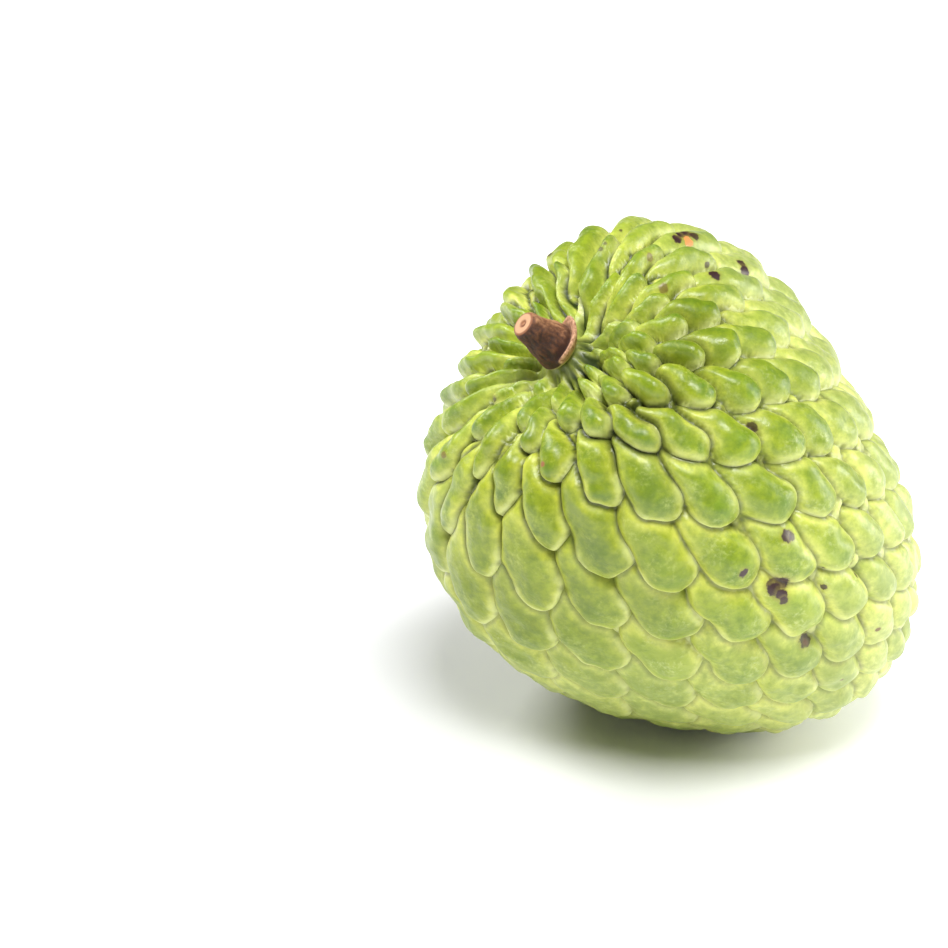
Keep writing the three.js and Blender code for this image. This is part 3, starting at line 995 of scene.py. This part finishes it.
def make_stalk():
    outline = stalk_outline()
    rings = len(outline)
    angle = np.linspace(0, 2 * math.pi, STALK_SIDES, endpoint=False)[None, :]
    angle, radius = np.broadcast_arrays(angle, outline[:, :1])
    height = np.broadcast_to(outline[:, 1:], angle.shape)
    ring = np.stack([np.cos(angle), np.sin(angle), height / BARK_WAVE_HEIGHT], -1).reshape(-1, 3)
    ridges, fine, ragged = (
        waves(ring, length, 1.0, BARK_SEED + number).reshape(angle.shape)
        for number, length in enumerate(BARK_WAVES)
    )
    outside = radius > PITH_RADIUS
    facing = smooth(np.cos(angle - COLLAR_AT) + RAGGED[0] * ragged, *COLLAR_FACING)
    collar = between(height, COLLAR_BASE, COLLAR_END) * facing * outside
    bark = between(height, BARK_BASE, BARK_END) * outside
    outward = radius + BARK_RIDGE * bark * (ridges + FINE_RIDGE * fine)
    outward += COLLAR_WIDTH * collar * (1 + RAGGED[1] * ragged)
    upward = height + COLLAR_RISE * collar * (1 + RAGGED[2] * ragged)
    points = np.stack([np.cos(angle) * outward, np.sin(angle) * outward, upward], -1)
    points = np.concatenate([points.reshape(-1, 3), [(0, 0, 0), (0, 0, STALK_PROFILE[-1][1])]])
    mesh = new_mesh("stalk_bark", moved(points, stalk_matrix()), tube_triangles(rings, STALK_SIDES))
    shares = {
        "collar": collar,
        "groove": facing * between(height, GROOVE_BASE, GROOVE_END),
        "ridge": bark * (ridges + fine),
        "under": (1 + np.cos(angle - UNDERSIDE_AT)) / 2,
        "up": height,
        "out": radius,
    }
    for name, values in shares.items():
        ends = [values[0, 0], values[-1, 0]]
        add_values(mesh, name, np.append(values.ravel(), ends), "POINT")
    return new_piece("stalk_bark", mesh, bark_material(), "stalk")


def tube_triangles(rings, sides):
    """Triangles of a closed tube; its end points come after the rings."""
    i, j = np.meshgrid(np.arange(rings - 1), np.arange(sides), indexing="ij")
    i, j = i.ravel(), j.ravel()
    after = (j + 1) % sides
    a, b, c, d = i * sides + j, i * sides + after, (i + 1) * sides + after, (i + 1) * sides + j
    side = np.arange(sides)
    after = (side + 1) % sides
    last, count = (rings - 1) * sides, rings * sides
    foot = np.stack([after, side, np.full(sides, count)], 1)
    head = np.stack([last + side, last + after, np.full(sides, count + 1)], 1)
    return np.concatenate([np.stack([a, b, c], 1), np.stack([a, c, d], 1), foot, head])


def add_object(name, data):
    thing = bpy.data.objects.new(name, data)
    bpy.context.scene.collection.objects.link(thing)
    return thing


def new_piece(name, mesh, material, node):
    piece = add_object(name, mesh)
    mesh.materials.append(material)
    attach(piece, "root")
    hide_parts(node)
    return piece


# ---- Materials ----


class Shader:
    """A material's node tree, with short calls for the nodes that the materials use."""

    def __init__(self, name):
        self.material = bpy.data.materials.new(name)
        self.material.use_nodes = True
        self.tree = self.material.node_tree
        self.surface = self.tree.nodes["Principled BSDF"]

    def node(self, kind, inputs=None, **settings):
        node = self.tree.nodes.new(kind)
        for name, value in settings.items():
            setattr(node, name, value)
        for socket, value in (inputs or {}).items():
            self.put(node.inputs[socket], value)
        return node

    def put(self, socket, value):
        """The value is a number or colour, another socket, or the name of one of the mesh's values."""
        if isinstance(value, str):
            value = self.node("ShaderNodeAttribute", attribute_name=value).outputs["Fac"]
        if isinstance(value, bpy.types.NodeSocket):
            self.tree.links.new(value, socket)
        else:
            socket.default_value = value

    def set_surface(self, inputs):
        for name, value in inputs.items():
            self.put(self.surface.inputs[name], value)

    def math(self, operation, *values):
        return self.node("ShaderNodeMath", dict(enumerate(values)), operation=operation).outputs[0]

    def product(self, first, *others):
        for other in others:
            first = self.math("MULTIPLY", first, other)
        return first

    def ramp(self, value, low, high, to_low=0.0, to_high=1.0):
        """Goes smoothly from to_low to to_high as the value goes from low to high."""
        node = self.node(
            "ShaderNodeMapRange",
            {"Value": value, "From Min": low, "From Max": high, "To Min": to_low, "To Max": to_high},
            interpolation_type="SMOOTHSTEP",
        )
        return node.outputs["Result"]

    def mix(self, share, a, b, blend="MIX"):
        node = self.node("ShaderNodeMix", data_type="RGBA", blend_type=blend)
        # The sockets for colours have the same names as others, but their own numbers.
        self.put(node.inputs[0], share)
        self.put(node.inputs[6], a)
        self.put(node.inputs[7], b)
        return node.outputs[2]

    def noise(self, size, kind=NOISE):
        """Noise with features of this size in millimetres."""
        inputs = {"Vector": self.place(), "Scale": 1 / (size * MM)}
        inputs["Detail"], inputs["Roughness"] = kind
        return self.node("ShaderNodeTexNoise", inputs).outputs["Fac"]

    def uneven(self, distance, size, amount):
        """The distance, with noise of this size adding or taking away up to this amount."""
        wobble = self.math("MULTIPLY_ADD", self.noise(size), 2 * amount, -amount)
        return self.math("ADD", distance, wobble)

    def place(self):
        return self.node("ShaderNodeTexCoord").outputs["Object"]

    def distance_from(self, point):
        node = self.node(
            "ShaderNodeVectorMath", {0: self.place(), 1: tuple(point)}, operation="DISTANCE"
        )
        return node.outputs["Value"]

    def bump(self, height, strength):
        inputs = {"Strength": strength, "Distance": BUMP_DEPTH * MM, "Height": height}
        self.set_surface({"Normal": self.node("ShaderNodeBump", inputs).outputs["Normal"]})


def skin_material():
    shader = Shader("custard_apple_skin")
    base = shader.mix(green_share(shader), pale_skin(shader), green_skin(shader))
    # paler far from the stalk, and painted light: paler sooner on the upper side
    base = shader.mix(shader.product("far", FAR_AND_LIT_TOP_SHARE), base, FAR_AND_LIT_TOP_COLOUR)
    base = shader.mix(shader.product("near", NEAR_SHARE), base, NEAR_COLOUR)
    # pale waxy bloom, partly painted sheen
    base = shader.mix(bloom_and_sheen_share(shader), base, BLOOM_SHEEN_COLOUR)
    base = shader.mix(1.0, base, mottling(shader), "MULTIPLY")
    # painted shade, darker and greener, on one side and around the widest gaps
    base = shader.mix("painted_shade", base, PAINTED_SHADE_TINT, "MULTIPLY")
    base = shader.mix(rim_share(shader), base, RIM_COLOUR)
    # painted shade in the lines and pits between the scales
    base = shader.mix(crease_shade_share(shader), base, CREASE_SHADE_COLOUR)
    shader.set_surface({
        "Base Color": add_marks(shader, base),
        "Roughness": shader.ramp(shader.noise(ROUGHNESS_SIZE), *CONTRAST, *ROUGHNESS),
        "Coat Weight": COAT,
        "Coat Roughness": COAT_ROUGHNESS,
        "Subsurface Weight": SUBSURFACE,
        "Subsurface Radius": SUBSURFACE_RADIUS,
        "Subsurface Scale": 1.0,
    })
    coarse, fine = GRAIN_SIZES
    coarse, fine = shader.noise(coarse), shader.noise(fine, EVEN_NOISE)
    shader.bump(shader.math("MULTIPLY_ADD", coarse, COARSE_GRAIN, fine), SKIN_BUMP)
    return shader.material


def green_share(shader):
    """1 on the green middle of a scale, 0 along its rim and on its narrow end."""
    middle = shader.ramp(shader.uneven("rim", *GREEN_WOBBLE), 0.0, GREEN_RIM)
    return shader.product(middle, shader.ramp("along", *GREEN_ALONG, GREEN_ON_TAIL))


def green_skin(shader):
    blotches = shader.ramp(shader.noise(BLOTCH_SIZE), *CONTRAST, 0.0, BLOTCH_SHARE)
    share = shader.math("MULTIPLY_ADD", "tone", 1 - BLOTCH_SHARE, blotches)
    light = shader.mix(share, GREEN_LIGHT, GREEN_MIDDLE)
    patch = shader.product(
        shader.ramp(shader.math("ABSOLUTE", "across"), *PATCH_ACROSS),
        shader.ramp("along", *PATCH_FROM),
        shader.ramp("along", *PATCH_TO),
        shader.ramp(shader.noise(PATCH_SIZE), *MORE_CONTRAST, *PATCH_RANGE),
        shader.math("MULTIPLY_ADD", "calm", -PATCH_CALM, 1.0),
    )
    return shader.mix(patch, light, GREEN_DEEP)


def pale_skin(shader):
    share = shader.ramp(shader.noise(PALE_SIZE, SOFT_NOISE), *MORE_CONTRAST)
    return shader.mix(share, PALE_GREEN, PALE_YELLOW)


def rim_share(shader):
    """A thin pale line along the free end of each scale."""
    line = shader.ramp(shader.uneven("rim", *RIM_WOBBLE), *RIM_WIDTH)
    return shader.product(line, shader.ramp("along", *RIM_ALONG, *RIM_RANGE))


def crease_shade_share(shader):
    """Painted shade: dark lines between the scales, mostly on the ones that lie below, and dark pits.
    """
    beside_stalk, around_gaps = CREASE_WIDER
    nearer = shader.math("MULTIPLY_ADD", "near", -beside_stalk, 1.0)
    nearer = shader.math("MULTIPLY_ADD", "gap", -around_gaps, nearer)
    line = shader.ramp(shader.product("rim", nearer), CREASE_WIDTH, 0.0)
    line = shader.product(line, shader.ramp("along", *CREASE_ALONG, *CREASE_RANGE))
    line = shader.math("MAXIMUM", line, shader.ramp("pit", *PIT_SHADE))
    return shader.product(line, "crease")


def bloom_and_sheen_share(shader):
    """Pale waxy specks, partly painted sheen, gathered in some areas."""
    specks = shader.ramp(shader.noise(BLOOM_SHEEN_SPECK, SHARP_NOISE), *BLOOM_SHEEN_SPECKS)
    areas = shader.ramp(shader.noise(BLOOM_SHEEN_AREA, SOFT_NOISE), *BLOOM_SHEEN_AREAS, *BLOOM_SHEEN_RANGE)
    return shader.product(specks, areas)


def mottling(shader):
    """Small lighter and darker patches, and scales that are lighter or darker as a whole."""
    tone = shader.math("MULTIPLY_ADD", "tone", MOTTLE_TONE, -MOTTLE_TONE / 2)
    patches = shader.math("ADD", shader.noise(MOTTLE_SIZE, SHARP_NOISE), tone)
    return shader.mix(shader.ramp(patches, *MOTTLE_NOISE), MOTTLE_DARK, MOTTLE_LIGHT)


def add_marks(shader, base):
    """Brown spots and scars, each a blot around its own place on the skin."""
    arcs, azimuths = np.array([mark[:2] for mark in MARKS], float).T
    t = np.interp(arcs, meridian.arc, meridian.t)
    place = places(leaning(t, np.radians(azimuths)))
    centres = moved(skin_surface(place, top_scale(place))[0], fruit_matrix())
    noise = shader.noise(MARK_WOBBLE)
    for centre, (_, _, size, strength, tint) in zip(centres, MARKS):
        wobble = shader.product(noise, size * MARK_UNEVEN)
        distance = shader.math("MULTIPLY_ADD", shader.distance_from(centre), 1 / MM, wobble)
        halo = [size * share for share in MARK_HALO_WIDTH]
        core = [size * share for share in MARK_CORE]
        halo = shader.ramp(distance, *halo, 0.0, strength * MARK_HALO_SHARE)
        base = shader.mix(halo, base, MARK_HALO)
        base = shader.mix(shader.ramp(distance, *core, 0.0, strength), base, tint)
    return base


def bark_material():
    shader = Shader("dry_stalk")
    grain = shader.noise(BARK_GRAIN, SHARP_NOISE)
    base = bark_colour(shader, grain)
    collar = shader.mix(shader.ramp(grain, *COLLAR_GRAIN), COLLAR_DARK, COLLAR_TAN)
    base = shader.mix(shader.ramp("collar", *COLLAR_EDGE), base, collar)
    cut = shader.mix(shader.ramp("out", *PITH_EDGE), CUT_RING, CUT_PALE)
    cut = shader.mix(shader.ramp("out", *RING_EDGE), cut, CUT_RING)
    face = shader.product(shader.ramp("up", *CUT_HEIGHTS), shader.ramp("out", *CUT_RADII))
    shader.set_surface({
        "Base Color": shader.mix(face, base, cut),
        "Roughness": shader.ramp(grain, *CONTRAST, *BARK_ROUGHNESS),
    })
    fine = shader.noise(BARK_FINE_GRAIN, SOFT_NOISE)
    shader.bump(shader.math("ADD", grain, fine), BARK_BUMP)
    return shader.material


def bark_colour(shader, grain):
    """Streaky bark, painted shade on its underside and in the groove above the collar, pale at its
    foot.
    """
    streak = shader.math("MULTIPLY_ADD", "ridge", RIDGE_SHADE, grain)
    streak = shader.math("MULTIPLY_ADD", "under", -UNDERSIDE_SHADE, streak)
    base = shader.mix(shader.ramp(streak, *BROWN_FROM), BARK_DARK, BARK_BROWN)
    base = shader.mix(shader.ramp(streak, *TAN_FROM), base, BARK_TAN)
    foot = shader.product(shader.ramp("up", *FOOT_HEIGHTS), shader.ramp("out", *FOOT_RADII))
    base = shader.mix(foot, base, FOOT_PALE)
    return shader.mix(shader.product("groove", GROOVE_SHADE), base, BARK_DARK)


# ---- Stage ----


def make_camera():
    data = bpy.data.cameras.new("camera")
    data.lens, data.sensor_width = CAMERA_LENS, SENSOR
    camera = add_object("camera", data)
    camera.rotation_euler = (math.pi / 2 - CAMERA_RISE, 0, 0)
    turn = camera.rotation_euler.to_matrix()
    camera.location = (Vector(SETTLE) + turn @ Vector((-ASIDE, BELOW, CAMERA_DISTANCE))) * MM
    bpy.context.scene.camera = camera


def make_light(name, azimuth, lean, energy, size):
    data = bpy.data.lights.new(name, "AREA")
    data.energy, data.size = energy, size
    light = add_object(name, data)
    away = Vector(leaning(math.radians(lean), math.radians(azimuth)))
    light.location = away * LIGHT_DISTANCE + Vector((0, 0, SETTLE[2] * MM))
    light.rotation_euler = away.to_track_quat("Z", "Y").to_euler()


def floor_material():
    """Painted light: a pale floor glowing white at some distance from the fruit, like a lit photo
    table.
    """
    shader = Shader("pale_floor")
    shader.set_surface({
        "Base Color": FLOOR_COLOUR,
        "Roughness": FLOOR_ROUGHNESS,
        "Emission Color": WHITE,
        "Emission Strength": shader.ramp(shader.distance_from(GLOW_MIDDLE), *FLOOR_GLOW),
    })
    return shader.material


def make_stage():
    bpy.ops.mesh.primitive_plane_add(size=FLOOR_SIZE, location=(0, 0, -FLOOR_GAP))
    floor = bpy.context.object
    floor.name = "floor"
    floor.data.materials.append(floor_material())
    world = bpy.data.worlds.new("studio")
    world.use_nodes = True
    background = world.node_tree.nodes["Background"]
    background.inputs["Color"].default_value = WHITE
    background.inputs["Strength"].default_value = WORLD
    bpy.context.scene.world = world
    bpy.context.scene.view_settings.view_transform = "Standard"
    for light in LIGHTS:
        make_light(*light)


make_camera()
make_stage()
make_fruit()
make_stalk()
